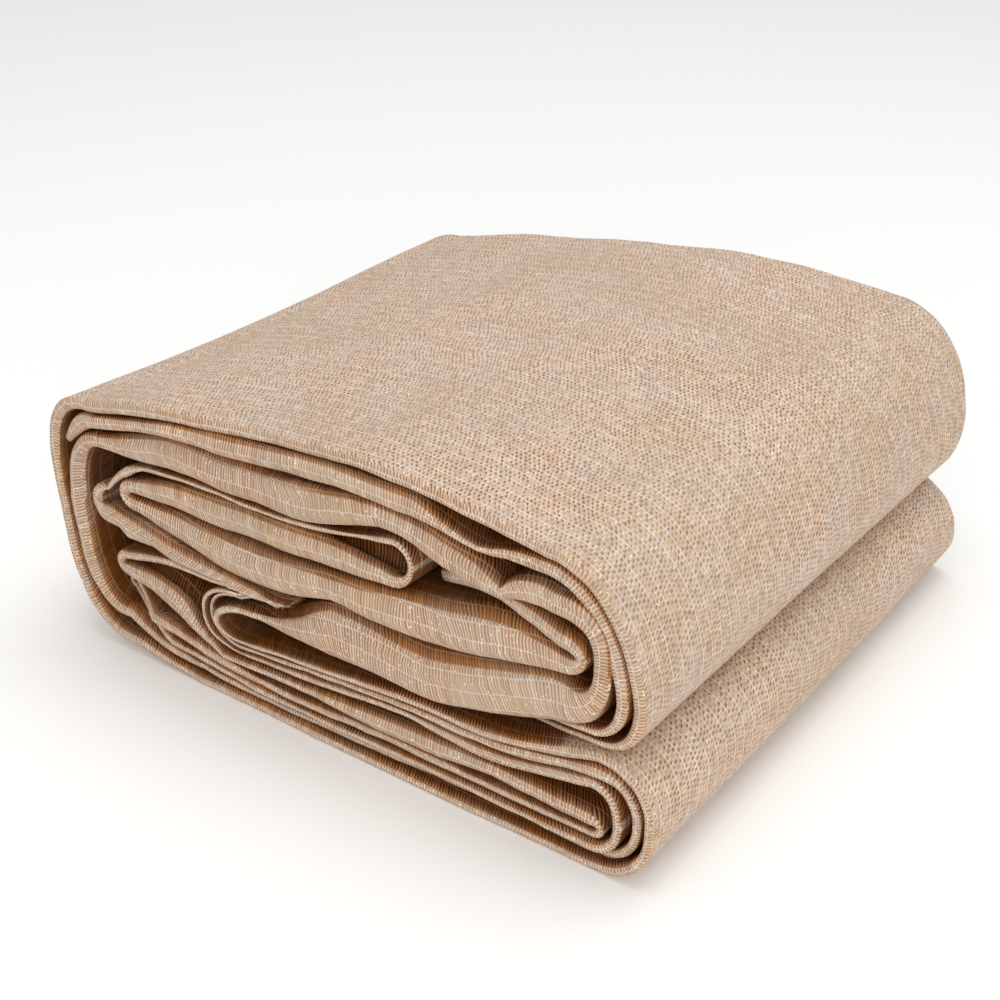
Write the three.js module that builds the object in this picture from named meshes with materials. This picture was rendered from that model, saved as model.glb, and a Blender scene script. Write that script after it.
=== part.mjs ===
// A knitted shade sail, folded up into a flat bundle for storage.
//
// The sail is one piece of knitted polyethylene cloth. Its two long sides are first turned in to
// its middle, which gives a long doubled strip. The strip is then laid back and forth on itself, and
// its last turns go round the whole bundle. The front and the back of the bundle show the rounded
// sides of the strip, one above another, and the right side shows two smooth bullnoses.
//
// Millimetres, +X to the right along the front, +Y away from it, +Z up. The origin is on the
// surface that the bundle lies on, under the middle of its outer box.

import * as THREE from 'three';

// Driving dimensions
const bundle = {
  left: -124,           // the spine side of the bundle, as the tables below count x
  right: 122,           // and the side of the two bullnoses
  depthLeft: 212,       // width of the folded strip at the spine, where the turns are pulled tight
  depthRight: 236,      // and at the bullnoses
};
const noseRoundness = 0.85;  // depth of a rounded side over half the thickness of its layer
const settle = {
  sagLeft: 0.075,       // share of its height that the spine side loses from front to back
  sagEnd: 0.65,         // share of the depth over which it sinks
  crown: 0.012,         // share that the bullnose side gains in the middle of its depth
  slip: 4,              // the lower bullnose falls back this far at the back
  slipFrom: 50,         // from this height
  slipTo: 36,           // down to this one
  cornerFrom: 40,       // the back right corner is drawn in from here to the right
  cornerCut: 7,         // by this much
  slotCut: 13,          // and by this much more beside the slot between the bullnoses
  slotHeight: 40,
  slotSpread: 24,
};
const armStep = 12;     // spacing of the sections along a straight layer
const turnStep = 8;     // and round a turn, where there are at least the sections below
const leastTurnSections = 8;

// How the strip lies, one row for each layer, in the order of the cloth from its inner end to its
// outer end. A layer runs from x to x, with the heights of its middle at five even stations, and
// half of its thickness there. A turn at its end leads to the next row: its reach past the end of
// the layer, its squareness (2 is an ellipse), and half of the thickness at its tip.
// Each row ends with how far the front nose and the back nose are drawn in, at its start and end:
// most where the strip turns back on itself deep in the bundle.
const columns = [
  'name', 'from', 'to', 'heights', 'halves', 'reach', 'squareness', 'tipHalf',
  'frontAtStart', 'frontAtEnd', 'backAtStart', 'backAtEnd',
];
const layers = [
  ['tongue', 38, 87, [72.6, 75.7, 76.6, 75.8, 73.6], [2.2, 2.5, 1.6, 2.7, 2.6], 7.2, 2, 1.9, 9, 0, 9, 2],
  ['tongue below', 87, 0, [65.4, 64.7, 60.2, 58.1, 58.9], [3.8, 7.6, 8, 7, 4.6], 0, 2, 0, 0, 0, 2, 1],
  ['core below', 0, -84, [58.9, 56.2, 56, 57.3, 60.3], [4.6, 6.6, 6.8, 5.4, 2.7], 6, 2.2, 2.1, 0, 0, 1, 2],
  ['core top', -84, 24, [67.3, 69.3, 69.8, 69.9, 68.9], [2.6, 5.2, 5, 5, 2.7], 7, 2, 1.2, 0, 2, 1, 3],
  ['thin ply', 24, -78, [81.9, 77.6, 76.1, 76.3, 74.8], [1.1, 0.8, 0.7, 0.7, 0.9], 0, 2, 0, 3, 2, 5, 4],
  ['thin ply fall', -78, -97, [74.8, 74, 71.9, 68.5, 63.2], [0.9, 0.9, 1, 1, 1.1], 5, 2, 1.8, 2, 0, 4, 2],
  ['flap', -97, -21, [54, 50.4, 47.2, 47.4, 47.9], [3.4, 3.7, 3, 1.2, 1], 1.3, 2, 0.7, 0, 3, 2, 5],
  ['flap lining', -21, -94, [45.3, 43.9, 41.6, 41.2, 37.6], [0.7, 0.7, 0.9, 1.2, 1.5], 4, 2, 1.6, 6, 3, 7, 4],
  ['lens', -94, -50, [31.6, 30, 26.2, 18.9, 15], [2.6, 4.2, 5, 2.1, 1], 0, 2, 0, 3, 3, 3, 4],
  ['heart top', -50, 97, [15, 16.5, 16, 17.5, 16.4], [1.1, 1.5, 3.1, 2.6, 2.6], 4, 2, 1.2, 2, 1, 4, 1],
  ['heart below', 97, -84, [11.2, 11.3, 10.7, 10.7, 16.8], [1, 1.3, 1.4, 1.5, 2.1], 0, 2, 0, 2, 3, 2, 4],
  ['heart rise', -84, -99, [16.8, 18.6, 20.4, 22.3, 24.4], [2.1, 2, 1.8, 1.5, 1.1], 2.2, 2, 0.9, 3, 10, 4, 10],
  ['third fall', -99, -75, [20.8, 17.2, 13.8, 11.6, 10.2], [1.1, 1.2, 1.3, 1.4, 1.4], 0, 2, 0, 10, 3, 10, 4],
  ['third below', -75, 98, [10.3, 7.35, 7.4, 8.3, 8.4], [1.3, 1.1, 1.1, 1.1, 1.2], 9.4, 2.35, 1.5, 3, 0, 3, 1],
  ['third top', 98, -44, [30, 23.3, 23.6, 20.5, 17.5], [1.9, 1.7, 1, 1, 0.6], 16, 2.2, 0.9, 0, 4, 1, 5],
  ['over loop', -44, -29, [39.7, 40.9, 41.7, 42.2, 42.4], [0.8, 0.7, 0.6, 0.6, 0.6], 0.9, 2, 0.5, 4, 14, 5, 14],
  ['under it', -29, -44, [40.7, 40.2, 39.6, 38.8, 37.8], [0.6, 0.6, 0.6, 0.6, 0.6], 13.5, 2.2, 0.7, 14, 6, 14, 6],
  ['second top', -44, 100, [19.3, 23, 26.2, 27.5, 34.9], [0.6, 1.1, 1.1, 1.6, 2], 14.3, 2.25, 1.6, 5, 0, 5, 0],
  ['second below', 98, -80, [5.3, 5, 4.6, 4.5, 6.9], [0.9, 1, 1, 1, 1.5], 0, 2, 0, 4, 3, 2, 4],
  ['inner spine', -80, -96, [7.3, 8.4, 9.8, 11.6, 13.8], [1.6, 1.8, 2, 2.2, 2.4], 17, 2.4, 4, 3, 3, 4, 4],
  ['throat', -100, 20, [79, 82.8, 84.4, 85, 90], [2.5, 6, 6.5, 6.7, 4], 0, 2, 0, 1, 0, 3, 1],
  ['throat crease', 20, 66, [90, 89.6, 86.8, 84.7, 80.9], [4, 4, 5.4, 4.8, 2], 0, 2, 0, 0, 0, 1, 2],
  ['crest', 66, 85, [80.9, 83.2, 84.4, 84.8, 84], [2, 3.6, 4.3, 4.4, 4.1], 15.2, 2.12, 2.2, 0, 0, 2, 1],
  ['belly', 84, 0, [51.8, 46.7, 41.7, 40.7, 42.3], [8.3, 9.1, 9.1, 9.3, 10.5], 0, 2, 0, 0, 0, 1, 0],
  ['belly end', 0, -38, [42.3, 40.1, 37.7, 36.3, 34.8], [10.5, 8, 4.7, 2.2, 1.4], 13, 2, 1.2, 0, 4, 0, 5],
  ['wrap top', -44, 100, [21.5, 25.8, 29.2, 30.9, 39.7], [0.8, 0.9, 1.1, 1.3, 1.9], 19.3, 2.35, 1.5, 4, 0, 4, 0],
  ['base', 98, -56, [1.5, 1.5, 1.5, 1.5, 1.5], [1.5, 1.5, 1.5, 1.5, 1.5], 0, 2, 0, 0, 1, 0, 1],
  ['outer spine', -56, -92, [1.5, 1.8, 2.6, 3.7, 5.2], [1.5, 1.6, 1.6, 1.7, 1.8], 24.5, 2.6, 2.5, 1, 2, 1, 0],
  ['cover', -106, -6, [89.6, 95.3, 98.6, 101.7, 103.4], [2.3, 2, 1.9, 1.9, 2], 0, 2, 0, 2, 3, 0, 0],
  ['crown', -6, 82, [103.4, 104.8, 103.8, 101.9, 99.6], [2, 2, 1.9, 1.9, 1.9], 21.6, 2.15, 1.7, 3, 0, 0, 0],
  ['sheet tip', 98, 62, [43.1, 40.6, 38.2, 36, 34], [1.2, 0.9, 0.8, 0.7, 0.6], 0.9, 2, 0.5, 2, 14, 1, 14],
  ['sheet low', 62, 95, [35.6, 37.6, 39.8, 42.5, 46], [0.6, 0.6, 0.6, 0.6, 0.8], 17.6, 2.2, 1.6, 14, 1, 14, 2],
  ['sheet', 82, 34, [94.6, 94.2, 92.5, 95, 97.8], [2.3, 2, 1, 1.7, 3.2], 0, 2, 0, 0, 0, 2, 1],
  ['sheet far', 34, -102, [97.8, 97.5, 95.3, 91.7, 85.2], [3.2, 3.4, 3.1, 2.2, 1.9], 0, 2, 0, 0, 1, 1, 2],
  ['sheet end', -102, -117, [85.2, 84.3, 82.3, 79.2, 74.4], [1.9, 2.1, 2.2, 1.8, 1.1], 0, 2, 0, 1, 3, 2, 4],
].map((row) => Object.fromEntries(columns.map((name, i) => [name, row[i]])));

// A smooth curve through evenly spaced values, at t from 0 to 1.
function through(values, t) {
  const last = values.length - 1;
  const i = Math.min(Math.floor(t * last), last - 1);
  const f = t * last - i;
  const b = values[i];
  const c = values[i + 1];
  const a = i > 0 ? values[i - 1] : 2 * b - c;
  const d = i + 2 <= last ? values[i + 2] : 2 * c - b;
  return b + 0.5 * f * (c - a + f * (2 * a - 5 * b + 4 * c - d + f * (3 * (b - c) + d - a)));
}

const mix = (a, b, t) => a + (b - a) * t;

// The middle line of the strip as seen from the front: x, z, half thickness and how far its two noses
// are drawn in, at every section from the inner end of the cloth to its outer end.
export function middleLine() {
  const line = [];
  layers.forEach((layer, n) => {
    const steps = Math.max(4, Math.round(Math.abs(layer.to - layer.from) / armStep));
    const next = layers[n + 1];
    const joined = next && layer.reach === 0;
    for (let i = 0; i <= steps - (joined ? 1 : 0); i += 1) {
      const t = i / steps;
      line.push({
        x: mix(layer.from, layer.to, t),
        z: through(layer.heights, t),
        half: through(layer.halves, t),
        front: mix(layer.frontAtStart, layer.frontAtEnd, t),
        back: mix(layer.backAtStart, layer.backAtEnd, t),
      });
    }
    if (!next || joined) return;
    const side = Math.sign(layer.to - layer.from);
    const power = 2 / layer.squareness;
    const start = line[line.length - 1];
    const turnLength = Math.abs(next.heights[0] - start.z) + 2 * layer.reach;
    const turnSteps = Math.max(leastTurnSections, Math.round(turnLength / turnStep));
    for (let i = 1; i < turnSteps; i += 1) {
      const angle = (Math.PI * i) / turnSteps;
      const out = Math.sin(angle) ** power;
      const along = (1 - Math.sign(Math.cos(angle)) * Math.abs(Math.cos(angle)) ** power) / 2;
      const t = i / turnSteps;
      const plain = mix(start.half, next.halves[0], t);
      line.push({
        x: mix(start.x, next.from, along) + side * layer.reach * out,
        z: mix(start.z, next.heights[0], along),
        half: mix(plain, layer.tipHalf, out ** 2),
        front: mix(layer.frontAtEnd, next.frontAtStart, t),
        back: mix(layer.backAtEnd, next.backAtStart, t),
      });
    }
  });
  return line;
}

// The direction across the strip at each point of its middle line, from its neighbours.
export function withNormals(line) {
  return line.map((point, i) => {
    const a = line[Math.max(i - 1, 0)];
    const b = line[Math.min(i + 1, line.length - 1)];
    const length = Math.hypot(b.x - a.x, b.z - a.z);
    return { ...point, nx: -(b.z - a.z) / length, nz: (b.x - a.x) / length };
  });
}

const clamp = (value) => Math.min(1, Math.max(0, value));
const ease = (t) => t * t * (3 - 2 * t);
const acrossBundle = (x) => (x - bundle.left) / (bundle.right - bundle.left);

// Where a point of the section lies at a depth, given from -1 at the front to 1 at the back. The
// spine side sinks towards the back, the bullnose side has a slight crown, and the lower bullnose
// falls back at the back.
function place(x, z, depth) {
  const toRight = acrossBundle(x);
  const goneBack = (1 + depth) / 2;
  const sag = settle.sagLeft * (1 - toRight) * Math.sin(clamp(goneBack / settle.sagEnd) * (Math.PI / 2));
  const crown = settle.crown * toRight * (1 - depth * depth);
  const low = ease(clamp((settle.slipFrom - z) / (settle.slipFrom - settle.slipTo)));
  return new THREE.Vector3(x - settle.slip * clamp(toRight) * low * goneBack ** 2, 0, z * (1 + crown - sag));
}

// How far the back nose is drawn in at the right, most beside the slot between the two bullnoses.
function cornerDrawnIn(x, z) {
  const nearSlot = Math.exp(-(((z - settle.slotHeight) / settle.slotSpread) ** 2));
  const toCorner = ease(clamp((x - settle.cornerFrom) / (bundle.right - settle.cornerFrom)));
  return (settle.cornerCut + settle.slotCut * nearSlot) * toCorner;
}

// The closed loop round the strip at one section: the front nose, one face, the back nose and the
// other face. A nose is a half ellipse between the two faces.
const noseAngles = [0, 45, 90].map((degrees) => (degrees * Math.PI) / 180);
function loopRound(point) {
  const halfDepth = mix(bundle.depthLeft, bundle.depthRight, acrossBundle(point.x)) / 2;
  const front = -halfDepth + point.front;
  const back = halfDepth - point.back - cornerDrawnIn(point.x, point.z);
  const noseDepth = point.half * noseRoundness;
  const rows = [
    ...noseAngles.map((a) => [front + noseDepth * (1 - Math.cos(a)), Math.sin(a)]),
    [0, 1],
    ...noseAngles.toReversed().map((a) => [back - noseDepth * (1 - Math.cos(a)), Math.sin(a)]),
  ];
  const face = (side) => rows.map(([y, share]) => {
    const out = side * share * point.half;
    const spot = place(point.x + out * point.nx, point.z + out * point.nz, y / halfDepth);
    return spot.setY(y);
  });
  return [...face(1), ...face(-1).slice(1, -1).toReversed()];
}

// The cloth as one closed body: the loops joined along the strip, with both ends closed, moved to
// stand over the origin with the middle of its outer box.
function clothGeometry() {
  const loops = withNormals(middleLine()).map(loopRound);
  const count = loops[0].length;
  const positions = loops.flat().flatMap((v) => [v.x, v.y, v.z]);
  const faces = [];
  const quad = (a, b, c, d) => faces.push(a, c, b, a, d, c);
  for (let i = 0; i + 1 < loops.length; i += 1) {
    for (let k = 0; k < count; k += 1) {
      const next = (k + 1) % count;
      quad(i * count + k, i * count + next, (i + 1) * count + next, (i + 1) * count + k);
    }
  }
  const closeEnd = (first, turned) => {
    for (let k = 0; k < count / 2; k += 1) {
      const a = first + k;
      const b = first + k + 1;
      const c = first + ((count - k - 1) % count);
      const d = first + ((count - k) % count);
      const corners = [...new Set(turned ? [d, c, b, a] : [a, b, c, d])];
      if (corners.length === 4) quad(...corners);
      else faces.push(...corners.toReversed());
    }
  };
  closeEnd(0, true);
  closeEnd((loops.length - 1) * count, false);
  const geometry = new THREE.BufferGeometry();
  geometry.setAttribute('position', new THREE.Float32BufferAttribute(positions, 3));
  geometry.setIndex(faces);
  geometry.computeBoundingBox();
  const middle = geometry.boundingBox.getCenter(new THREE.Vector3());
  geometry.translate(-middle.x, -middle.y, 0);
  geometry.computeVertexNormals();
  return geometry;
}

// Knitted polyethylene tape, a warm sand colour, dull with a slight plastic glint
const knittedCloth = new THREE.MeshStandardMaterial({ color: 0xd6bd9c, roughness: 0.7, metalness: 0 });

const group = new THREE.Group();
const cloth = new THREE.Mesh(clothGeometry(), knittedCloth);
cloth.name = 'shade_cloth';
group.add(cloth);

export default group;
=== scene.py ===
# A knitted shade sail, folded up into a flat bundle, on a plain pale floor.

import math

import bpy
import numpy as np
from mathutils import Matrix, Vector


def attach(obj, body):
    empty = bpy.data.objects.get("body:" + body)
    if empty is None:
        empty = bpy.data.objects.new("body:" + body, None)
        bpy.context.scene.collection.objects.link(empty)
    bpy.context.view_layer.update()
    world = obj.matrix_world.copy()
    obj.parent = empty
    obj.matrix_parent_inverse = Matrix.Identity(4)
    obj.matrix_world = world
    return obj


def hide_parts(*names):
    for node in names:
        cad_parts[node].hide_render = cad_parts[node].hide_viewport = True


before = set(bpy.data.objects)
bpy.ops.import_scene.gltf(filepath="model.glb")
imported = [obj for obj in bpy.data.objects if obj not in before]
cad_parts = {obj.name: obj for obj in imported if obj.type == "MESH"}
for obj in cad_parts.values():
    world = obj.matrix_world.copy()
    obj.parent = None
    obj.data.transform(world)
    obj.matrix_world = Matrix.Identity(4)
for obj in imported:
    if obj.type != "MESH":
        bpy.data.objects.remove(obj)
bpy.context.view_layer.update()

# The path of the folded strip
# The sail's long sides are turned in to its middle, and the doubled strip is laid back and forth and
# then wound round the bundle. Seen from the front it is one line, in millimetres, from the inner end
# of the cloth to its outer end, with the thickness that each layer puffs up to.

# A row is one layer: where it starts and stops from left to right, five heights and five half
# thicknesses along it, then the turn at its end (how far it reaches out, how square it is, and the half
# thickness at its tip), and how far the front and back noses are drawn in at its start and stop. A
# reach of 0 means that it runs straight on into the next row.
COLUMNS = ("name", "start", "stop", "heights", "halves", "reach", "squareness", "tip",
           "front_start", "front_stop", "back_start", "back_stop")
LAYERS = [dict(zip(COLUMNS, row)) for row in (
    ("tongue", 38, 87, (72.6, 75.7, 76.6, 75.8, 73.6), (2.2, 2.5, 1.6, 2.7, 2.6),
     7.2, 2, 1.9, 9, 0, 9, 2),
    ("tongue below", 87, 0, (65.4, 64.7, 60.2, 58.1, 58.9), (3.8, 7.6, 8, 7, 4.6),
     0, 2, 0, 0, 0, 2, 1),
    ("core below", 0, -84, (58.9, 56.2, 56, 57.3, 60.3), (4.6, 6.6, 6.8, 5.4, 2.7),
     6, 2.2, 2.1, 0, 0, 1, 2),
    ("core top", -84, 24, (67.3, 69.3, 69.8, 69.9, 68.9), (2.6, 5.2, 5, 5, 2.7),
     7, 2, 1.2, 0, 2, 1, 3),
    ("thin ply", 24, -78, (81.9, 77.6, 76.1, 76.3, 74.8), (1.1, 0.8, 0.7, 0.7, 0.9),
     0, 2, 0, 3, 2, 5, 4),
    ("thin ply fall", -78, -97, (74.8, 74, 71.9, 68.5, 63.2), (0.9, 0.9, 1, 1, 1.1),
     5, 2, 1.8, 2, 0, 4, 2),
    ("flap", -97, -21, (54, 50.4, 47.2, 46.9, 46.6), (3.4, 3.7, 3.2, 2.5, 1.7),
     1.1, 2, 0.7, -1.5, -2, 2, 5),
    ("flap lining", -21, -94, (44.1, 43.1, 41.3, 41, 37.6), (0.6, 0.7, 0.9, 1.2, 1.5),
     4, 2, 1.6, 5, 3, 7, 4),
    ("lens", -94, -50, (31.6, 30, 26.2, 18.9, 15), (2.6, 4.2, 5, 2.1, 1),
     0, 2, 0, 3, 3, 3, 4),
    ("heart top", -50, 97, (15, 16.5, 16, 17.5, 16.4), (1.1, 1.5, 3.1, 2.6, 2.6),
     4, 2, 1.2, 2, 1, 4, 1),
    ("heart below", 97, -84, (11.2, 11.3, 10.7, 10.7, 16.8), (1, 1.3, 1.4, 1.5, 2.1),
     0, 2, 0, 2, 3, 2, 4),
    ("heart rise", -84, -99, (16.8, 18.6, 20.4, 22.3, 24.4), (2.1, 2, 1.8, 1.5, 1.1),
     2.2, 2, 0.9, 3, 10, 4, 10),
    ("third fall", -99, -75, (20.8, 17.2, 13.8, 11.6, 10.2), (1.1, 1.2, 1.3, 1.4, 1.4),
     0, 2, 0, 10, 3, 10, 4),
    ("third below", -75, 98, (10.3, 7.35, 7.4, 8.3, 8.4), (1.3, 1.1, 1.1, 1.1, 1.2),
     9.4, 2.35, 1.5, 3, 0, 3, 1),
    ("third top", 98, -44, (30, 23.3, 23.6, 20.5, 17.5), (1.9, 1.7, 1, 1, 0.6),
     16, 2.2, 0.9, 0, 4, 1, 5),
    ("over loop", -44, -29, (39.7, 40.9, 41.7, 42.2, 42.4), (0.8, 0.7, 0.6, 0.6, 0.6),
     0.9, 2, 0.5, 4, 14, 5, 14),
    ("under it", -29, -44, (40.7, 40.2, 39.6, 38.8, 37.8), (0.6, 0.6, 0.6, 0.6, 0.6),
     13.5, 2.2, 0.7, 14, 6, 14, 6),
    ("second top", -44, 100, (19.3, 23, 26.2, 27.5, 34.9), (0.6, 1.1, 1.1, 1.6, 2),
     14.3, 2.25, 1.6, 5, 0, 5, 0),
    ("second below", 98, -80, (5.3, 5, 4.6, 4.5, 6.9), (0.9, 1, 1, 1, 1.5),
     0, 2, 0, 4, 3, 2, 4),
    ("inner spine", -80, -96, (7.3, 8.4, 9.8, 11.6, 13.8), (1.6, 1.8, 2, 2.2, 2.4),
     17, 2.4, 4, 3, 3, 4, 4),
    ("throat", -100, 20, (79, 82.8, 84.4, 85, 90), (2.5, 6, 6.5, 6.7, 4),
     0, 2, 0, 1, 0, 3, 1),
    ("throat crease", 20, 66, (90, 89.6, 86.8, 84.7, 80.9), (4, 4, 5.4, 4.8, 2),
     0, 2, 0, 0, 0, 1, 2),
    ("crest", 66, 85, (80.9, 83.2, 84.4, 84.8, 84), (2, 3.6, 4.3, 4.4, 4.1),
     16, 2.65, 2.8, 0, 0, 2, 1),
    ("belly", 84, 0, (51.8, 46.7, 41.7, 40.7, 42.3), (8.3, 9.1, 9.1, 9.3, 10.5),
     0, 2, 0, 0, 0, 1, 0),
    ("belly end", 0, -38, (42.3, 40.1, 37.7, 36.3, 34.8), (10.5, 8, 4.7, 2.2, 1.4),
     13, 2, 1.2, 0, 4, 0, 5),
    ("wrap top", -44, 100, (21.5, 25.8, 29.2, 30.9, 39.7), (0.8, 0.9, 1.1, 1.3, 1.9),
     19.3, 2.35, 1.5, 4, 0, 4, 0),
    ("base", 98, -56, (1.5, 1.5, 1.5, 1.5, 1.5), (1.5, 1.5, 1.5, 1.5, 1.5),
     0, 2, 0, 0, 1, 0, 1),
    ("outer spine", -56, -92, (1.5, 1.8, 2.6, 3.7, 5.2), (1.5, 1.6, 1.6, 1.7, 1.8),
     24.5, 2.6, 2.5, 1, 2, 1, 0),
    ("cover", -106, -6, (89.6, 95.3, 98.6, 101.7, 103.4), (2.3, 2, 1.9, 1.9, 2),
     0, 2, 0, 2, 3, 0, 0),
    ("crown", -6, 82, (103.4, 104.8, 103.8, 101.9, 99.6), (2, 2, 1.9, 1.9, 1.9),
     21.2, 2.15, 2.4, 3, 0, 0, 0),
    ("sheet tip", 98, 62, (43.1, 40.6, 38.2, 36, 34), (1.2, 0.9, 0.8, 0.7, 0.6),
     0.9, 2, 0.5, 2, 14, 1, 14),
    ("sheet low", 62, 95, (36.2, 38.4, 40.8, 43.4, 46.8), (0.6, 0.7, 0.8, 0.8, 1.1),
     17.5, 2.2, 2.4, 14, 1, 14, 2),
    ("sheet", 82, 34, (94.6, 94.2, 92.5, 95, 97.8), (2.3, 2, 1, 1.7, 3.2),
     0, 2, 0, 0, 0, 2, 1),
    ("sheet far", 34, -102, (97.9, 97.7, 95.6, 92, 85.4), (3.3, 3.6, 3.4, 2.6, 2.3),
     0, 2, 0, 0, 1, 1, 2),
    ("sheet end", -102, -118, (85.4, 84.7, 83, 79.6, 74.4), (2.3, 2.8, 3.1, 2.6, 1.4),
     0, 2, 0, 1, 3, 2, 4),
)]
NAMES = [layer["name"] for layer in LAYERS]
ARM_STEP = 5.0
TURN_STEP = 2.8
LEAST_ARM_STEPS = 6
LEAST_TURN_STEPS = 12


def through(values, t):
    """A smooth curve through evenly spaced values: the cubic of each interval has the slope at its
    ends that its two neighbours give."""
    values = np.asarray(values, float)
    ends = np.concatenate(([2 * values[0] - values[1]], values, [2 * values[-1] - values[-2]]))
    i = np.minimum((t * (len(values) - 1)).astype(int), len(values) - 2)
    f = t * (len(values) - 1) - i
    a, b, c, d = (ends[i + k] for k in range(4))
    return b + 0.5 * f * (c - a + f * (2 * a - 5 * b + 4 * c - d + f * (3 * (b - c) + d - a)))


def mix(a, b, t):
    """The value that lies a share t of the way from a to b."""
    return a + (b - a) * t


def ease(t):
    """From 0 to 1 with a soft start and end: three times t squared, less twice t cubed."""
    t = np.clip(t, 0, 1)
    return t * t * (3 - 2 * t)


def strip_line():
    """The middle line of the strip: x, z, half thickness, how far its front and back noses are drawn
    in, and its place, which is the layer's number plus up to a half along the layer and up to a whole
    round the turn that follows. A turn is half a superellipse, from the end of its layer to the start
    of the next."""
    parts = []
    for n, layer in enumerate(LAYERS):
        after = LAYERS[n + 1] if n + 1 < len(LAYERS) else None
        joined = after is not None and layer["reach"] == 0
        steps = max(LEAST_ARM_STEPS, round(abs(layer["stop"] - layer["start"]) / ARM_STEP))
        t = np.arange(steps + (0 if joined else 1)) / steps
        parts.append(np.stack([
            mix(layer["start"], layer["stop"], t), through(layer["heights"], t), through(layer["halves"], t),
            mix(layer["front_start"], layer["front_stop"], t),
            mix(layer["back_start"], layer["back_stop"], t),
            n + 0.5 * t]))
        if after is None or joined:
            continue
        rise = after["heights"][0] - layer["heights"][-1]
        steps = max(LEAST_TURN_STEPS, round((abs(rise) + 2 * layer["reach"]) / TURN_STEP))
        t = np.arange(1, steps) / steps
        power = 2 / layer["squareness"]
        out = np.sin(np.pi * t) ** power
        level = np.cos(np.pi * t)
        along = (1 - np.sign(level) * np.abs(level) ** power) / 2
        side = math.copysign(1, layer["stop"] - layer["start"])
        plain = mix(layer["halves"][-1], after["halves"][0], t)
        parts.append(np.stack([
            mix(layer["stop"], after["start"], along) + side * layer["reach"] * out,
            mix(layer["heights"][-1], after["heights"][0], along),
            mix(plain, layer["tip"], out ** 2),
            mix(layer["front_stop"], after["front_start"], t),
            mix(layer["back_stop"], after["back_start"], t),
            n + 0.5 + 0.5 * t]))
    return np.concatenate(parts, axis=1)


line_x, line_z, half, front_in, back_in, place_on = strip_line()
travelled = np.concatenate(([0], np.cumsum(np.hypot(np.diff(line_x), np.diff(line_z)))))

# The sheet round the strip
# One thin sheet goes from its hem, in the middle of the strip's inner face, round the front nose, over
# the outer face, round the back nose, and back to the other hem. The noses are soft and uneven: no
# stitch holds them, and each stands out or draws back by a millimetre or two along its way.
CLOTH_THICKNESS = 0.45

# Where the outline ends at the spine and at the bullnoses, how deep it is at each of them, and its
# middle, which goes to the frame's origin
LEFT = -124.0
RIGHT = 122.0
DEPTH_LEFT = 212.0
DEPTH_RIGHT = 236.0
MIDDLE = (-4.019, -1.833)

# The bundle as it has settled: shares of the height that the spine side sinks by and the middle rises
# by, and how far the lower bullnose falls back, from the top of the slot above it down to its own top
SPINE_SINK = 0.075
SUNK_AT_DEPTH = 0.65
MIDDLE_CROWN = 0.012
BULLNOSE_BACK = 4.0
SLOT_TOP = 50.0
BULLNOSE_TOP = 36.0

# The back's right corner, which is drawn in by some millimetres, and by more beside the slot
CORNER_IN = 7.0
CORNER_IN_AT_SLOT = 13.0
CORNER_FROM = 40.0
SLOT_HEIGHT = 40.0
SLOT_SPREAD = 24.0

# The noses, the gap between each hem and the strip's middle, and the stations across the sheet: in
# millimetres behind the front nose, and in shares of the way from a nose to its hem or to the other nose
NOSE_ROUNDNESS = 0.85
NOSE_FULLNESS = 2.7
NOSE_MARGIN = 0.6
NOSE_LEAN = 0.18
FRONT_WANDER = 0.5
FRONT_QUIVER = 0.16
BACK_WANDER = 1.2
BACK_QUIVER = 0.3
HEM_GAP = 1.5
FRONT_NOSE_POINTS = 15
BACK_NOSE_POINTS = 9
NEAR_FRONT = (1.6, 3.4, 5.6, 8.4, 12.0, 18.0)
INNER = (0, 0.35, 0.6)
OUTER = (0.22, 0.36, 0.5, 0.64, 0.78, 0.9, 0.96)
BEHIND = (0.06, 0.35, 0.7, 1.0)


def ripple(where, longest, shortest, seed, count=9):
    """Smooth unevenness between about -1 and 1: a sum of sines of the given wavelengths, with the
    shorter ones lower, each running in a direction of its own."""
    rng = np.random.default_rng(seed)
    total = 0
    weight = 0
    for k in range(count):
        length = longest * (shortest / longest) ** (k / max(1, count - 1))
        turn = rng.uniform(0, 2 * np.pi)
        phase = rng.uniform(0, 2 * np.pi)
        height = (length / longest) ** 0.7
        steps = sum(axis * way for axis, way in zip(where, (math.cos(turn), math.sin(turn))))
        if len(where) == 1:
            steps = where[0]
        total = total + height * np.sin(2 * np.pi * steps / length + phase)
        weight += height
    return 1.8 * total / weight


def settled(x, z, y, half_depth):
    """Where a point of the section lies at a depth: its height is multiplied by one plus the crown,
    a parabola over the depth, less the sag, a quarter of a sine towards the back. The lower bullnose
    falls back with the square of the depth."""
    to_right = (x - LEFT) / (RIGHT - LEFT)
    depth = y / half_depth
    gone_back = (1 + depth) / 2
    sag = SPINE_SINK * (1 - to_right) * np.sin(np.clip(gone_back / SUNK_AT_DEPTH, 0, 1) * (np.pi / 2))
    crown = MIDDLE_CROWN * to_right * (1 - depth ** 2)
    low = ease((SLOT_TOP - z) / (SLOT_TOP - BULLNOSE_TOP))
    return x - BULLNOSE_BACK * np.clip(to_right, 0, 1) * low * gone_back ** 2, z * (1 + crown - sag)


def full(values):
    """A sine or cosine raised to 2 over the fullness, with its sign kept: two of them draw a
    superellipse."""
    return np.sign(values) * np.abs(values) ** (2 / NOSE_FULLNESS)


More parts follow.
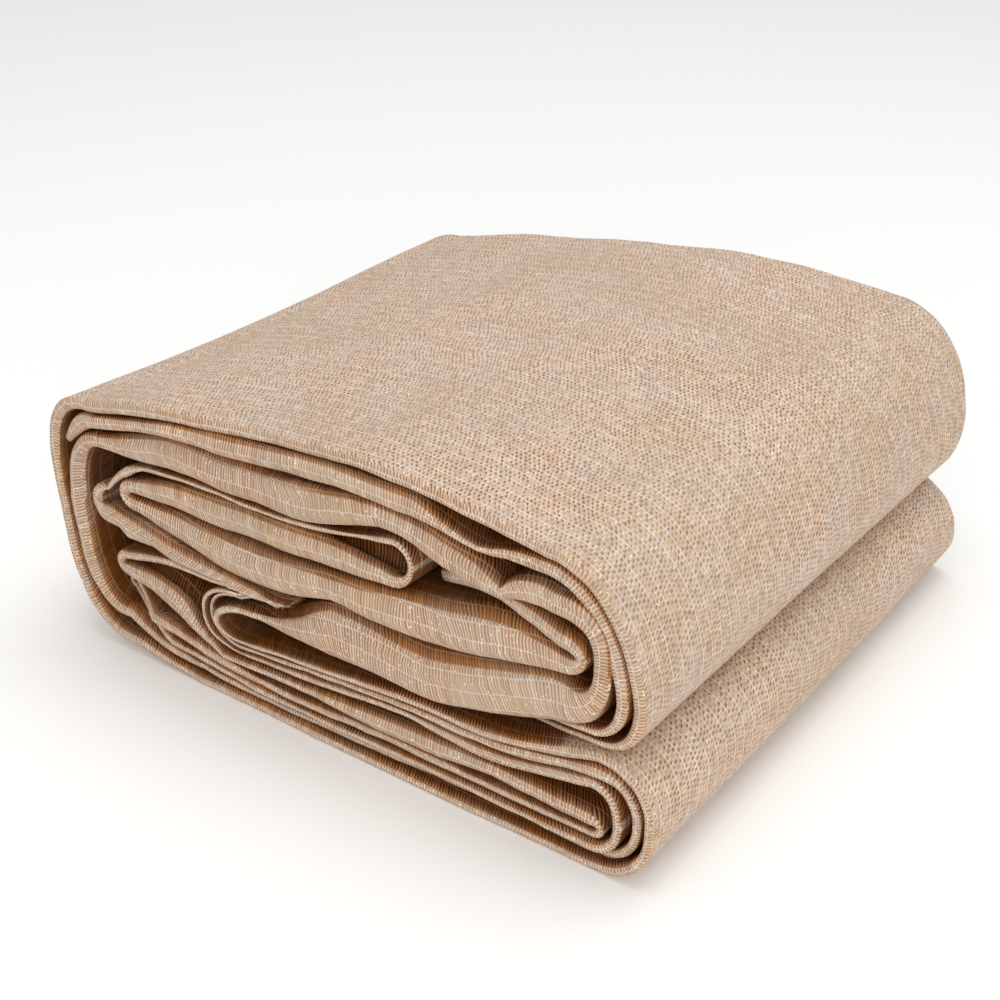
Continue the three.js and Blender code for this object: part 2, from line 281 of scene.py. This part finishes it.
def sheet_points():
    """The sheet as a grid: sections along the path by stations across, in millimetres. A nose is half
    a superellipse between the two faces of the strip, leaning a little up or down. The second result
    is each station's side, from -1 on the inner face to 1 on the outer one, and the third is how much
    each section's outer face looks up."""
    nx, nz = -np.gradient(line_z), np.gradient(line_x)
    size = np.hypot(nx, nz)
    nx, nz = nx / size, nz / size
    to_right = (line_x - LEFT) / (RIGHT - LEFT)
    half_depth = mix(DEPTH_LEFT, DEPTH_RIGHT, to_right) / 2
    near_slot = np.exp(-((line_z - SLOT_HEIGHT) / SLOT_SPREAD) ** 2)
    near_corner = ease((line_x - CORNER_FROM) / (RIGHT - CORNER_FROM))
    corner = (CORNER_IN + CORNER_IN_AT_SLOT * near_slot) * near_corner
    wander = FRONT_WANDER * ripple((travelled,), longest=160, shortest=55, seed=5)
    wander += FRONT_QUIVER * ripple((travelled,), longest=19, shortest=8, seed=6)
    wander_back = BACK_WANDER * ripple((travelled,), longest=110, shortest=30, seed=7)
    wander_back += BACK_QUIVER * ripple((travelled,), longest=19, shortest=8, seed=8)
    lean = NOSE_LEAN * ripple((travelled,), longest=90, shortest=32, seed=9)
    deep = (half * NOSE_ROUNDNESS)[:, None]
    front = (-half_depth + front_in + wander + NOSE_MARGIN)[:, None] + deep
    back = (half_depth - back_in - corner - wander_back - NOSE_MARGIN)[:, None] - deep

    turn_front = np.radians(np.linspace(-90, 90, FRONT_NOSE_POINTS))
    turn_back = np.radians(np.linspace(90, -90, BACK_NOSE_POINTS))
    near_front = np.array(NEAR_FRONT)
    y = np.concatenate([
        mix(-HEM_GAP, front, np.array(INNER)),
        front + near_front[::-1],
        front - deep * full(np.cos(turn_front)),
        front + near_front,
        mix(front, back, np.array(OUTER)),
        back + deep * full(np.cos(turn_back)),
        mix(back, HEM_GAP, np.array(BEHIND))], axis=1)
    side = np.concatenate([
        -np.ones(len(INNER) + len(NEAR_FRONT)), np.sin(turn_front), np.ones(len(NEAR_FRONT) + len(OUTER)),
        np.sin(turn_back), -np.ones(len(BEHIND))])
    out = (full(side) + lean[:, None] * np.sqrt(1 - side ** 2)) * half[:, None]
    x, z = settled(line_x[:, None] + out * nx[:, None], line_z[:, None] + out * nz[:, None], y,
                   half_depth[:, None])
    return np.stack([x, y, z], axis=-1), side, nz


points, side, looks_up = sheet_points()
sections, stations = points.shape[:2]

# Where the cloth is tucked in between layers, with painted shade on it, and the painted shade that darkens
# it behind the noses and where layers touch
# The outer face of the last turns is open, and it goes in at the slot between the two bullnoses. On a
# nose the side that faces up goes in sooner than the one below, and shade is painted on it under the
# layer above: each pair says at what share of its turn the nose starts to go in, and over what share.
# Distances are in millimetres.
SLOT_OPENS_AT = 76.0
SLOT_OPENS_OVER = 22.0
IN_AND_SHADED_FROM_ABOVE = (0.48, 0.42)
IN_AND_SHADED_FROM_BELOW = (0.8, 0.2)
CONTACT_DARK = 0.55
CONTACT_AT = 0.8
CONTACT_OVER = 2.2
DARK_FROM = 6.0
DARK_OVER = 20.0


def hidden_and_shaded_share():
    """How far each point is tucked in, which is also how much shade is painted on it, and how far it is
    covered by a layer, both from 0 to 1: the first grows softly with how much the nose has turned up or
    down."""
    wound = (place_on > NAMES.index("wrap top")) & (place_on < NAMES.index("sheet tip") + 0.5)
    by_slot = (place_on < NAMES.index("base") - 0.5) | (place_on >= NAMES.index("sheet tip"))
    open_air = np.where(wound, np.where(by_slot, ease((line_x - SLOT_OPENS_AT) / SLOT_OPENS_OVER), 1), 0)
    covered = np.where(side > 0, 1 - open_air[:, None], 1)
    faces_up = side * np.sign(looks_up)[:, None]
    above = ease((faces_up - IN_AND_SHADED_FROM_ABOVE[0]) / IN_AND_SHADED_FROM_ABOVE[1])
    below = ease((-faces_up - IN_AND_SHADED_FROM_BELOW[0]) / IN_AND_SHADED_FROM_BELOW[1])
    return np.where(faces_up > 0, above, below) * covered, covered


tucked_in_and_shaded, covered = hidden_and_shaded_share()
y = points[..., 1]
from_front = y + mix(DEPTH_LEFT, DEPTH_RIGHT, (points[..., 0] - LEFT) / (RIGHT - LEFT)) / 2
from_back = y.max(axis=1, keepdims=True) - y
from_end = np.minimum(from_front, from_back)
behind_edge = np.minimum(y - y.min(axis=1, keepdims=True), from_back)
at_contact = ease((behind_edge - CONTACT_AT * NOSE_ROUNDNESS * half[:, None]) / CONTACT_OVER)
# Painted shade: darker along the lines where layers touch, and more so further in behind the noses
painted_shade_deep_in = CONTACT_DARK * at_contact + (1 - CONTACT_DARK) * ease((from_end - DARK_FROM) / DARK_OVER)
painted_shade_deep_in *= covered

# The whole bundle rises and falls a little, more at the top, and its middle goes to the origin
BUNDLE_LIFT = 0.55
LIFTED_FROM = 60.0

lift = BUNDLE_LIFT * ripple((points[..., 0], points[..., 1]), longest=150, shortest=45, seed=11)
points[..., 2] += lift * ease(points[..., 2] / LIFTED_FROM)
points[..., 0] -= MIDDLE[0]
points[..., 1] -= MIDDLE[1]

# The way across the sheet, in millimetres from the tip of its front nose
step_across = np.linalg.norm(np.diff(points, axis=1), axis=2)
across_sheet = np.concatenate([np.zeros((sections, 1)), np.cumsum(step_across, axis=1)], axis=1)
front_tip = len(INNER) + len(NEAR_FRONT) + FRONT_NOSE_POINTS // 2
across_sheet -= across_sheet[:, front_tip:front_tip + 1]

# Soft creases and ridges, listed one row each: the layer, its stretch (0 to 1 along the layer and
# 1 to 2 round the turn that follows), how far from the tip of the front nose the crease starts and
# stops, towards the layer's left hand if positive, its half width, and how far it stands out
CREASES = (
    ("throat", 0.0, 0.42, 1.6, 0.6, 1.3, -1.3),
    ("throat", 0.35, 1.0, -2.2, -1.0, 1.5, -0.8),
    ("throat", 0.6, 0.82, 4.2, 6.5, 1.8, -3.4),
    ("inner spine", 1.0, 2.0, -0.6, 0.4, 1.2, -1.0),
    ("crest", 0.1, 1.9, 2.4, 3.0, 0.9, -1.5),
    ("throat crease", 0.5, 1.0, 2.0, 2.4, 1.2, -0.9),
    ("core top", 0.1, 0.85, 1.8, 1.2, 1.3, -0.8),
    ("core top", 0.7, 1.2, 12.0, 10.0, 2.6, 5.5),
    ("core top", 0.95, 1.95, 7.0, 5.5, 1.6, 2.8),
    ("thin ply", 0.0, 0.22, 7.0, 9.0, 2.0, 3.0),
    ("core below", 0.0, 0.8, -1.5, -2.5, 1.8, -0.9),
    ("tongue below", 0.1, 1.0, 2.5, 1.0, 1.6, -0.9),
    ("belly", 0.1, 0.9, -3.5, -2.5, 2.2, -0.7),
    ("belly", 0.3, 1.0, 3.5, 5.0, 2.0, -0.7),
    ("belly end", 0.15, 0.95, -8.0, -3.6, 3.0, 2.6),
    ("sheet far", 0.1, 0.9, -0.8, 0.6, 1.1, -0.9),
    ("heart top", 0.2, 0.9, 0.6, -0.6, 0.9, -0.7),
    ("second top", 0.2, 0.9, 0.2, -0.2, 0.7, -0.4),
    ("cover", 0.0, 1.0, -0.7, -1.0, 0.8, -0.5),
    ("crown", 0.0, 0.9, -1.0, -0.7, 0.8, -0.5),
    ("lens", 0.0, 0.9, 7.0, 10.0, 2.0, 1.6),
    ("flap lining", 0.1, 0.9, 6.0, 9.0, 1.8, 1.3),
    ("flap", 0.5, 1.2, -2.6, -2.0, 1.3, 1.6),
    ("flap", 0.1, 0.7, -2.0, -2.4, 2.4, 0.9),
)


def creased():
    """How far each point stands out, in millimetres: each crease is a bell curve across the sheet,
    and rises and fades smoothly along its stretch."""
    total = np.zeros(across_sheet.shape)
    for name, start, stop, at_start, at_stop, width, height in CREASES:
        along = (2 * (place_on - NAMES.index(name)) - start) / (stop - start)
        strength = ease(4 * along) * ease(4 * (1 - along)) * ((along > 0) & (along < 1))
        centre = mix(at_start, at_stop, np.clip(along, 0, 1))
        total += height * strength[:, None] * np.exp(-((across_sheet - centre[:, None]) / width) ** 2)
    return total


def on_layers(names):
    """1 on the sections of the named layers and their turns, and 0 elsewhere."""
    return np.isin(place_on // 1, [NAMES.index(name) for name in names]) * 1.0


# Small lumps along the noses fade into the bundle, and the flap and the plies that hang with it are
# crumpled at the front. Heights and reaches are in millimetres.
CRUMPLED = ("thin ply fall", "flap", "heart rise", "third fall")
LUMPS = 0.42
LUMPS_REACH = 18.0
LUMPS_IN_THE_OPEN = 0.25
CRUMPLES = 1.1
CRUMPLES_REACH = 12.0
CRUMPLES_FADE = 7

outward = np.cross(np.gradient(points, axis=1), np.gradient(points, axis=0))
outward /= np.maximum(np.linalg.norm(outward, axis=-1, keepdims=True), 1e-9)
on_sheet = (travelled[:, None] + 0 * across_sheet, across_sheet)
stands_out = creased()
lumps = LUMPS * ripple(on_sheet, longest=50, shortest=15, seed=12, count=14)
lumps *= mix(LUMPS_IN_THE_OPEN, 1, covered) * np.exp(-(from_end / LUMPS_REACH) ** 2)
crumples = CRUMPLES * ripple(on_sheet, longest=25, shortest=9, seed=21, count=12)
crumpled = np.convolve(on_layers(CRUMPLED), np.ones(CRUMPLES_FADE) / CRUMPLES_FADE, "same")
crumples *= crumpled[:, None] * np.exp(-(from_front / CRUMPLES_REACH) ** 2)
points += outward * (stands_out + lumps + crumples)[..., None]

# A ridge stands in the light, and so does the small loop in the middle, which is open: the painted shade is
# lessened on both
RIDGE_LIGHT = 0.6
RIDGE_HEIGHT = 3.0
LOOP_LIGHT = 0.55
LOOP_AT = NAMES.index("core top") + 0.6
LOOP_SPREAD = 0.4

painted_shade_deep_in *= 1 - RIDGE_LIGHT * np.clip(stands_out / RIDGE_HEIGHT, 0, 1)
painted_shade_deep_in *= 1 - LOOP_LIGHT * np.exp(-((place_on - LOOP_AT) / LOOP_SPREAD) ** 2)[:, None]

# The layers that hang out in the open, which get less of the painted shade, and those whose noses show the
# back of the knit
HANGS_OUT = ("thin ply fall", "flap")
OPEN_SHARE = 0.45
SHOWS_BACK = ("thin ply fall", "flap", "flap lining", "heart below", "third top")

tucked_in_and_shaded *= 1 - OPEN_SHARE * on_layers(HANGS_OUT)[:, None]
surface = {"tucked_in_and_shaded": tucked_in_and_shaded, "painted_shade_deep_in": painted_shade_deep_in, "round_a_nose": np.sqrt(1 - side ** 2),
           "knit_back": on_layers(SHOWS_BACK)[:, None]}


def put(name, data):
    """A new object at the origin, in the scene."""
    made = bpy.data.objects.new(name, data)
    bpy.context.scene.collection.objects.link(made)
    return made


index = np.arange(sections * stations).reshape(sections, stations)
quads = np.stack([index[:-1, :-1], index[:-1, 1:], index[1:, 1:], index[1:, :-1]], axis=-1).reshape(-1, 4)
cloth_mesh = bpy.data.meshes.new("knitted_cloth")
cloth_mesh.from_pydata(points.reshape(-1, 3) / 1000, [], quads[:, ::-1])
cloth_mesh.polygons.foreach_set("use_smooth", np.ones(len(cloth_mesh.polygons), dtype=bool))
uv = np.stack(on_sheet, axis=-1) / 1000
loops = np.empty(len(cloth_mesh.loops), dtype=np.int32)
cloth_mesh.loops.foreach_get("vertex_index", loops)
cloth_mesh.uv_layers.new(name="UVMap").data.foreach_set("uv", uv.reshape(-1, 2)[loops].ravel())
for name, values in surface.items():
    layer = cloth_mesh.attributes.new(name, "FLOAT", "POINT")
    layer.data.foreach_set("value", np.broadcast_to(values, across_sheet.shape).astype(np.float32).ravel())
cloth = put("knitted_cloth", cloth_mesh)
wall = cloth.modifiers.new("cloth_thickness", "SOLIDIFY")
wall.thickness = CLOTH_THICKNESS / 1000
wall.offset = -1

# The knitted cloth's finish
# Warp-knitted polyethylene: rows of fine chain stitches, near white, run along the strip, and flat
# sand-coloured tape zigzags between them. It leaves small slits, golden brown in the open, where the
# layer below shows through, and dark where the cloth is tucked in, with painted shade. Small glints
# on the plastic are painted highlights.

# A wale is the way from one chain to the next. Round a nose and where the cloth is tucked in it shows
# as fine ribs: it is drawn tight along the strip there, so its strokes lie closer than on the flat.
WALE_MM = 5.5
ROWS_IN_A_WALE = 3.0
STROKE_MM = 1.65
RIBS_CLOSER = 0.45
RIBS_FROM = 0.62
RIBS_ALIKE = 0.38
RELIEF_MM = 0.25

# Waviness about 22 mm long, patches of another shade about 70 mm wide, and specks under 0.6 mm wide
WAVES_PER_METRE = 45.0
PATCHES_PER_METRE = 14.0
SPECKS_PER_METRE = (2600.0, 1900.0, 1.0)

finish = bpy.data.materials.new("warp_knitted_polyethylene_tape")
finish.use_nodes = True
tree = finish.node_tree
tree.nodes.clear()
SOFT = {"interpolation_type": "SMOOTHSTEP"}
COLOURS = {"data_type": "RGBA", "output": 2}


def linear(colour):
    """An sRGB hex colour as linear red, green, blue and alpha: each share over 0.04 has 0.055 added,
    is divided by 1.055 and raised to 2.4, and a smaller one is divided by 12.92."""
    shares = [int(colour[i:i + 2], 16) / 255 for i in (1, 3, 5)]
    return tuple(c / 12.92 if c <= 0.04045 else ((c + 0.055) / 1.055) ** 2.4 for c in shares) + (1.0,)


def add(kind, sockets, output=0, **settings):
    """Adds a node with its settings to the finish, gives each socket a value, a hex colour or the
    output that feeds it, and returns one of its outputs. The sockets come in their own order, or by
    name or number. A range's are its value, two limits and the two results at them, 0 and 1 if none
    are given, and a mix's are 0 for the share, 6 for the colour at 0 and 7 for the colour at 1."""
    made = tree.nodes.new("ShaderNode" + kind)
    for name, value in settings.items():
        setattr(made, name, value)
    for name, value in sockets.items() if isinstance(sockets, dict) else enumerate(sockets):
        if isinstance(value, bpy.types.NodeSocket):
            tree.links.new(value, made.inputs[name])
        else:
            made.inputs[name].default_value = linear(value) if isinstance(value, str) else value
    return made.outputs[output]


cloth_uv = add("UVMap", {}, uv_map="UVMap")
split = add("SeparateXYZ", (cloth_uv,))
along, over = split, split.node.outputs[1]
# The first and the last of these attributes carry painted shade
deep, bent, knit_back, tucked_and_shaded = (
    add("Attribute", {}, output="Fac", attribute_name=name)
    for name in ("painted_shade_deep_in", "round_a_nose", "knit_back", "tucked_in_and_shaded"))
drift, patch = (
    add("TexNoise", {"Vector": cloth_uv, "Scale": scale, "Detail": detail}, noise_dimensions="2D")
    for scale, detail in ((WAVES_PER_METRE, 1.0), (PATCHES_PER_METRE, 3.0)))
sway = add("Math", (drift, 0.5), operation="SUBTRACT")

# Wales across the sheet, each with its chain line, and three rows of slits in each. The waves bend
# them by up to a tenth of a wale
wale = add("Math", (over, 1000 / WALE_MM), operation="MULTIPLY")
wale = add("Math", (sway, 0.2, wale), operation="MULTIPLY_ADD")
row = add("Math", (wale,), operation="FLOOR")
row_chance = add("TexWhiteNoise", {"W": row}, noise_dimensions="1D")
centred = add("Math", (wale,), operation="FRACT")
centred = add("Math", (centred, 0.5), operation="SUBTRACT")
off_centre = add("Math", (centred,), operation="ABSOLUTE")
chain = add("MapRange", (off_centre, 0.43, 0.475), **SOFT)
thirds = add("Math", (wale, ROWS_IN_A_WALE), operation="MULTIPLY")
third = add("Math", (thirds,), operation="FLOOR")
in_third = add("Math", (thirds,), operation="FRACT")
in_third = add("Math", (in_third, 0.5), operation="SUBTRACT")

# Where the cloth is tucked in and painted shaded, and its edge follows the wales
row_sways = add("Math", (row_chance, 0.5), operation="SUBTRACT")
tucked_and_shaded = add("Math", (row_sways, 0.25, tucked_and_shaded), operation="MULTIPLY_ADD")
tucked_and_shaded = add("MapRange", (tucked_and_shaded, 0.3, 0.62), **SOFT)
ribbed = add("Math", (bent, tucked_and_shaded), operation="MAXIMUM")
in_ribs = add("Math", (ribbed, RIBS_FROM), operation="GREATER_THAN")

# Strokes along each row, set half a stroke on in every second row where the cloth lies flat. The
# waves stretch and close them by about a stroke, and each wale starts them at a place of its own
set_on = add("Math", (third, 0.5), operation="MULTIPLY")
set_on = add("Math", (set_on,), operation="FRACT")
lies_flat = add("MapRange", (ribbed, 0.0, 0.9, 1.0, 0.0), **SOFT)
set_on = add("Math", (set_on, lies_flat), operation="MULTIPLY")
course = add("Math", (along, 1000 / STROKE_MM, set_on), operation="MULTIPLY_ADD")
course = add("Math", (sway, 2.4, course), operation="MULTIPLY_ADD")
course = add("Math", (row_chance, 0.7, course), operation="MULTIPLY_ADD")

# They lean over where the cloth is tucked in, and stand in a herringbone where its back shows
slant = add("MapRange", (tucked_and_shaded, 0.0, 1.0, 0.5, 1.9), **SOFT)
leaning = add("Math", (centred, slant), operation="MULTIPLY")
herringbone = add("Math", (off_centre, 3.4), operation="MULTIPLY")
herringbone = add("Math", (herringbone, leaning), operation="SUBTRACT")
leaning = add("Math", (herringbone, knit_back, leaning), operation="MULTIPLY_ADD")
course = add("Math", (leaning, course), operation="ADD")
closer = add("Math", (in_ribs, RIBS_CLOSER, 1.0), operation="MULTIPLY_ADD")
course = add("Math", (course, closer), operation="MULTIPLY")
cell = add("Math", (course,), operation="FLOOR")
in_cell = add("Math", (course,), operation="FRACT")
in_cell = add("Math", (in_cell, 0.5), operation="SUBTRACT")

# Each stroke has its own chances. In ribs it runs from chain to chain, so the three rows share them,
# and the strokes are more alike
lane = add("Math", (row, ROWS_IN_A_WALE), operation="MULTIPLY")
lane = add("Math", (lane, third), operation="SUBTRACT")
lane = add("Math", (lane, in_ribs, third), operation="MULTIPLY_ADD")
stroke = add("CombineXYZ", (cell, lane))
stroke = add("TexWhiteNoise", {"Vector": stroke}, output=1, noise_dimensions="2D")
chance = add("SeparateXYZ", (stroke,))
opening, tint = chance.node.outputs[1], chance.node.outputs[2]
alike = add("Math", (in_ribs, RIBS_ALIKE), operation="MULTIPLY")
to_open = add("Math", (0.75, opening), operation="SUBTRACT")
opening = add("Math", (to_open, alike, opening), operation="MULTIPLY_ADD")
to_pale = add("Math", (0.6, tint), operation="SUBTRACT")
tint = add("Math", (to_pale, alike, tint), operation="MULTIPLY_ADD")

# Each slit is a small ellipse, a little out of its place and aslant, which joins the next row's where
# the cloth is bent round a nose
uneven = add("MapRange", (ribbed, 0.0, 0.9, 0.85, 0.35), **SOFT)
shift = add("Math", (tint, 0.5), operation="SUBTRACT")
shift = add("Math", (shift, uneven), operation="MULTIPLY")
aslant = add("Math", (in_third, uneven), operation="MULTIPLY")
slit_width = add("Math", (shift, 0.3, in_cell), operation="MULTIPLY_ADD")
slit_width = add("Math", (aslant, 0.4, slit_width), operation="MULTIPLY_ADD")
slit_width = add("Math", (slit_width,), operation="ABSOLUTE")
for limits, blend in (((opening, 0.0, 1.0, 0.08, 0.21), {}), ((ribbed, 0.3, 0.9, 1.0, 1.3), SOFT)):
    reach = add("MapRange", limits, **blend)
    slit_width = add("Math", (slit_width, reach), operation="DIVIDE")
shift = add("Math", (chance, 0.5), operation="SUBTRACT")
shift = add("Math", (shift, uneven), operation="MULTIPLY")
slit_length = add("Math", (shift, 0.35, in_third), operation="MULTIPLY_ADD")
slit_length = add("Math", (slit_length,), operation="ABSOLUTE")
reach = add("MapRange", (ribbed, 0.0, 0.9, 0.36, 1.0), **SOFT)
slit_length = add("Math", (slit_length, reach), operation="DIVIDE")
slit = add("CombineXYZ", (slit_width, slit_length))
slit = add("VectorMath", (slit,), output=1, operation="LENGTH")
slit = add("MapRange", (slit, 1.3, 0.6), **SOFT)
for limits in ((opening, 0.05, 0.5, 0.2, 0.95), (bent, 0.0, 0.9, 1.0, 0.8), (patch, 0.32, 0.66, 0.7, 1.08)):
    share = add("MapRange", limits, **SOFT)
    slit = add("Math", (slit, share), operation="MULTIPLY")

# The pale side of a stroke, the seams between the rows of slits, and the chain's own stitches
pale = add("Math", (ribbed, 0.3, in_cell), operation="MULTIPLY_ADD")
pale = add("MapRange", (pale, 0.05, 0.3), **SOFT)
share = add("MapRange", (tint, 0.0, 1.0, 0.45, 1.0), **SOFT)
pale = add("Math", (pale, share), operation="MULTIPLY")
seam = add("Math", (in_third,), operation="ABSOLUTE")
seam = add("MapRange", (seam, 0.34, 0.46), **SOFT)
for limits in ((chance, 0.1, 0.9, 0.0, 0.3), (ribbed, 0.1, 0.7, 1.0, 0.0)):
    share = add("MapRange", limits, **SOFT)
    seam = add("Math", (seam, share), operation="MULTIPLY")
stitch = chain
for limits in ((tint, 0.0, 1.0, 0.55, 1.0), (bent, 0.0, 1.0, 0.88, 0.5)):
    share = add("MapRange", limits, **SOFT)
    stitch = add("Math", (stitch, share), operation="MULTIPLY")

# A few specks of the tape catch the light: painted glints, a pale highlight colour where the roughness is
# also lower, left out of the painted shade
speck = add("VectorMath", (cloth_uv, SPECKS_PER_METRE), operation="MULTIPLY")
speck = add("VectorMath", (speck,), operation="FLOOR")
speck = add("TexWhiteNoise", {"Vector": speck}, noise_dimensions="2D")
painted_glint = add("MapRange", (speck, 0.98, 0.985), **SOFT)
in_light = add("Math", (0.9, tucked_and_shaded), operation="SUBTRACT")
painted_glint = add("Math", (painted_glint, in_light), operation="MULTIPLY")

# Sand-coloured tape, near-white chains and brown slits, all browner and darker where the cloth is tucked in:
# its own brown with painted shade over it, then the painted glints
dark_tape = add("Mix", {0: bent, 6: "#C9A98A", 7: "#BF9A75"}, **COLOURS)
pale_tape = add("Mix", {0: bent, 6: "#DCCCBD", 7: "#DCCAB6"}, **COLOURS)
open_tape = add("Mix", {0: pale, 6: dark_tape, 7: pale_tape}, **COLOURS)
tucked_shaded_tape = add("Mix", {0: pale, 6: "#A06437", 7: "#C99866"}, **COLOURS)
tape_colour = add("Mix", {0: tucked_and_shaded, 6: open_tape, 7: tucked_shaded_tape}, **COLOURS)
slit_colour = add("Mix", {0: tucked_and_shaded, 6: "#8A5D35", 7: "#44200D"}, **COLOURS)
chain_colour = add("Mix", {0: tucked_and_shaded, 6: "#E3D8D2", 7: "#BD9C7C"}, **COLOURS)
colour = add("Mix", {0: slit, 6: tape_colour, 7: slit_colour}, **COLOURS)
colour = add("Mix", {0: painted_glint, 6: colour, 7: "#F3EBE0"}, **COLOURS)
colour = add("Mix", {0: seam, 6: colour, 7: "#E6DACB"}, **COLOURS)
colour = add("Mix", {0: stitch, 6: colour, 7: chain_colour}, **COLOURS)

# Patches and single strokes differ a little in shade, and painted shade makes the cloth darker, richer and
# redder deep in, behind the noses and where layers touch
shade = add("MapRange", (patch, 0.3, 0.7, 0.91, 1.0), **SOFT)
for limits in ((chance, 0.0, 1.0, 0.86, 1.1), (deep, 0.0, 1.0, 1.0, 0.3)):
    share = add("MapRange", limits)
    shade = add("Math", (shade, share), operation="MULTIPLY")
richness = add("MapRange", (drift, 0.35, 0.65, 0.92, 1.06), **SOFT)
share = add("MapRange", (deep, 0.0, 0.6, 0.0, 0.14), **SOFT)
richness = add("Math", (richness, share), operation="ADD")
warmth = add("MapRange", (patch, 0.35, 0.65, 0.501, 0.497), **SOFT)
share = add("MapRange", (deep, 0.0, 0.6, 0.0, 0.007), **SOFT)
warmth = add("Math", (warmth, share), operation="SUBTRACT")
colour = add("HueSaturation", {"Color": colour, "Value": shade, "Saturation": richness, "Hue": warmth})

# The relief of the stitches and of the tape, and the gloss of the specks
relief = add("Math", (pale, 0.5, 0.5), operation="MULTIPLY_ADD")
closed = add("Math", (1.0, slit), operation="SUBTRACT")
relief = add("Math", (relief, closed), operation="MULTIPLY")
raised = add("Math", (chain, 0.9), operation="MULTIPLY")
relief = add("Math", (relief, raised), operation="MAXIMUM")
bump = add("Bump", {"Height": relief, "Strength": 0.9, "Distance": RELIEF_MM / 1000})
gloss = add("MapRange", (painted_glint, 0.0, 1.0, 0.55, 0.25), **SOFT)
shader = add("BsdfPrincipled", {"Base Color": colour, "Roughness": gloss, "Normal": bump, "IOR": 1.5})
tree.links.new(shader, tree.nodes.new("ShaderNodeOutputMaterial").inputs[0])
cloth_mesh.materials.append(finish)

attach(cloth, "root")
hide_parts("shade_cloth")

# The floor, the light and the camera
# A plain white floor under soft studio light, seen from the front and a little from the right.
FLOOR_REACH = 4.0
SKY = 0.63
LAMP_SIZE = 1.0
LOOKS_DOWN = 27.7
LOOKS_LEFT = 34.7

floor_mesh = bpy.data.meshes.new("floor")
corners = [(x * FLOOR_REACH, y * FLOOR_REACH, 0) for x, y in ((-1, -1), (1, -1), (1, 1), (-1, 1))]
floor_mesh.from_pydata(corners, [], [(0, 1, 2, 3)])
floor = put("floor", floor_mesh)
paper = bpy.data.materials.new("matt_white_paper")
paper.use_nodes = True
paper.node_tree.nodes["Principled BSDF"].inputs["Base Color"].default_value = linear("#FAFAF9")
paper.node_tree.nodes["Principled BSDF"].inputs["Roughness"].default_value = 0.9
floor_mesh.materials.append(paper)

world = bpy.data.worlds.new("studio")
bpy.context.scene.world = world
world.use_nodes = True
world.node_tree.nodes["Background"].inputs["Color"].default_value = linear("#FFFFFF")
world.node_tree.nodes["Background"].inputs["Strength"].default_value = SKY
bpy.context.scene.view_settings.view_transform = "Standard"
for name, spot, power, colour in (
        ("overhead_softbox", (0.1, 0.1, 1.3), 7.9, "#FDFEFF"),
        ("front_softbox", (0.8, -1.27, 0.6), 9.7, "#FFFAF4")):
    lamp = bpy.data.lights.new(name, "AREA")
    lamp.shape = "SQUARE"
    lamp.size = LAMP_SIZE
    lamp.energy = power
    lamp.color = linear(colour)[:3]
    light = put(name, lamp)
    light.location = spot
    light.rotation_euler = Vector(spot).to_track_quat("Z", "Y").to_euler()

lens = bpy.data.cameras.new("camera")
lens.lens = 70.5
lens.sensor_width = 36
camera = put("camera", lens)
camera.location = (0.3403, -0.5030, 0.3602)
camera.rotation_euler = (math.radians(90 - LOOKS_DOWN), 0, math.radians(LOOKS_LEFT))
bpy.context.scene.camera = camera
